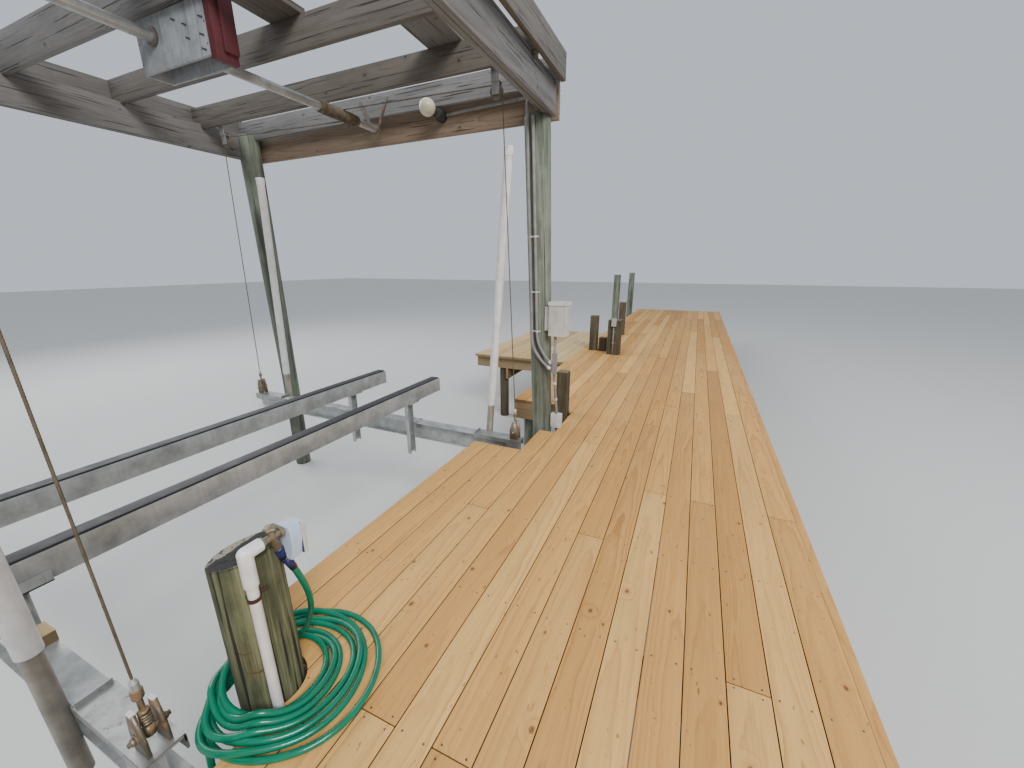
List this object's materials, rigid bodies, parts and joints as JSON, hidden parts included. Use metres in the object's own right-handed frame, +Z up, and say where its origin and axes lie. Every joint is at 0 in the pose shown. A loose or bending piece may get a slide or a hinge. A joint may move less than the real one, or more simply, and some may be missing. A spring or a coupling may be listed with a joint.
{
  "type": "wooden jetty with boat lift",
  "caption": "Timber jetty on pilings with a slip ledge, a finger pier, an overhead cable boat lift with a raising cradle, a water tap with hose and electric boxes.",
  "frame": {"origin": "centre of the foot of the hose piling, at the water line", "axes": "+X towards land, +Y along the jetty, +Z up"},
  "size_m": [5.519, 16.5, 4.122],
  "materials": {
    "new_pine": "new treated pine boards, semi-rough",
    "old_pine": "slightly older treated pine",
    "frame_pine": "sawn treated pine framing",
    "grey_timber": "weathered grey timber with checks",
    "piling_wood": "round treated piling, weathered grey-green",
    "stub_wood": "old dark post",
    "galvanised": "dull galvanised steel",
    "sheave_metal": "dull cast metal",
    "aluminium": "weathered mill finish",
    "rusty_steel": "rusty steel",
    "cable_steel": "weathered wire rope",
    "cover_ply": "weathered grey plywood",
    "red_paint": "dull red paint",
    "dark_paint": "black paint",
    "black_rubber": "matt black strip",
    "white_pvc": "white pipe",
    "grey_plastic": "weathered light grey",
    "timer_plastic": "blue-grey plastic",
    "blue_plastic": "dark blue plastic",
    "green_hose": "glossy green vinyl",
    "brass": "weathered brass",
    "lamp_glass": "frosted lamp"
  },
  "bodies": {
    "jetty": {"deck_boards": "new_pine", "edge_boards_near": "new_pine", "ledge_boards": "new_pine", "edge_boards_far": "new_pine", "finger_boards": "old_pine", "joists": "frame_pine", "ledge_joists": "frame_pine", "rim_boards": "frame_pine", "land_rim": "new_pine", "stringers": "frame_pine", "hose_piling": "piling_wood", "lift_pilings": "piling_wood", "deck_pilings": "piling_wood", "stub_posts": "stub_wood", "tall_pilings": "piling_wood", "finger_frame": "old_pine", "finger_pilings": "stub_wood", "lift_headers": "grey_timber", "cross_members": "grey_timber", "end_planks": "grey_timber", "rim_planks": "grey_timber", "loose_planks": "grey_timber", "pipe_hangers": "galvanised", "gear_cover": "cover_ply", "motor_box": "red_paint", "flood_lamp": "dark_paint", "sheave_brackets": "galvanised", "cable_runs": "cable_steel", "cable_falls": "cable_steel", "water_pipe": "white_pvc", "tap": "brass", "water_timer": "timer_plastic", "hose_fitting": "blue_plastic", "hose_lead": "green_hose", "hose_coil": "green_hose", "hose_tail": "green_hose", "hose_end": "brass", "electric_box": "grey_plastic", "junction_box": "grey_plastic", "conduits": "grey_plastic", "outlet_box": "grey_plastic", "lift_lamp": "lamp_glass"},
    "drive": {"drive_pipe": "galvanised", "cable_winders": "cable_steel"},
    "sheave_near_inner": {"sheave_near_inner": "sheave_metal"},
    "sheave_near_outer": {"sheave_near_outer": "sheave_metal"},
    "sheave_far_inner": {"sheave_far_inner": "sheave_metal"},
    "sheave_far_outer": {"sheave_far_outer": "sheave_metal"},
    "cradle": {"cradle_beams": "aluminium", "bunk_inner": "aluminium", "bunk_outer": "aluminium", "bunk_strips": "black_rubber", "bunk_brackets": "aluminium", "guide_posts": "galvanised", "guide_sleeves": "white_pvc", "cable_yokes": "rusty_steel"}
  },
  "joints": [
    {"name": "cradle_lift", "type": "slide", "parent": "jetty", "child": "cradle", "axis": [0, 0, 1], "range_m": [-0.8, 1.2], "deforming": ["cable_falls"]},
    {"name": "drive_turn", "type": "hinge", "parent": "jetty", "child": "drive", "pos_m": [-1.62, 0, 3.747], "axis": [0, 1, 0], "range_deg": [-1620, 1081]},
    {"name": "sheave_near_inner_turn", "type": "hinge", "parent": "jetty", "child": "sheave_near_inner", "pos_m": [-0.294, -0.29, 3.712], "axis": [0, 1, 0], "range_deg": [-1640, 1094]},
    {"name": "sheave_near_outer_turn", "type": "hinge", "parent": "jetty", "child": "sheave_near_outer", "pos_m": [-3.265, -0.29, 3.712], "axis": [0, 1, 0], "range_deg": [-1094, 1640]},
    {"name": "sheave_far_inner_turn", "type": "hinge", "parent": "jetty", "child": "sheave_far_inner", "pos_m": [-0.187, 2.3, 3.712], "axis": [0, 1, 0], "range_deg": [-1640, 1094]},
    {"name": "sheave_far_outer_turn", "type": "hinge", "parent": "jetty", "child": "sheave_far_outer", "pos_m": [-3.158, 2.3, 3.712], "axis": [0, 1, 0], "range_deg": [-1094, 1640]}
  ],
  "couplings": [
    {"joint": "drive_turn", "follows": "cradle_lift", "rad_per_m": -23.529},
    {"joint": "sheave_near_inner_turn", "follows": "cradle_lift", "rad_per_m": -23.809},
    {"joint": "sheave_near_outer_turn", "follows": "cradle_lift", "rad_per_m": 23.809},
    {"joint": "sheave_far_inner_turn", "follows": "cradle_lift", "rad_per_m": -23.809},
    {"joint": "sheave_far_outer_turn", "follows": "cradle_lift", "rad_per_m": 23.809}
  ]
}
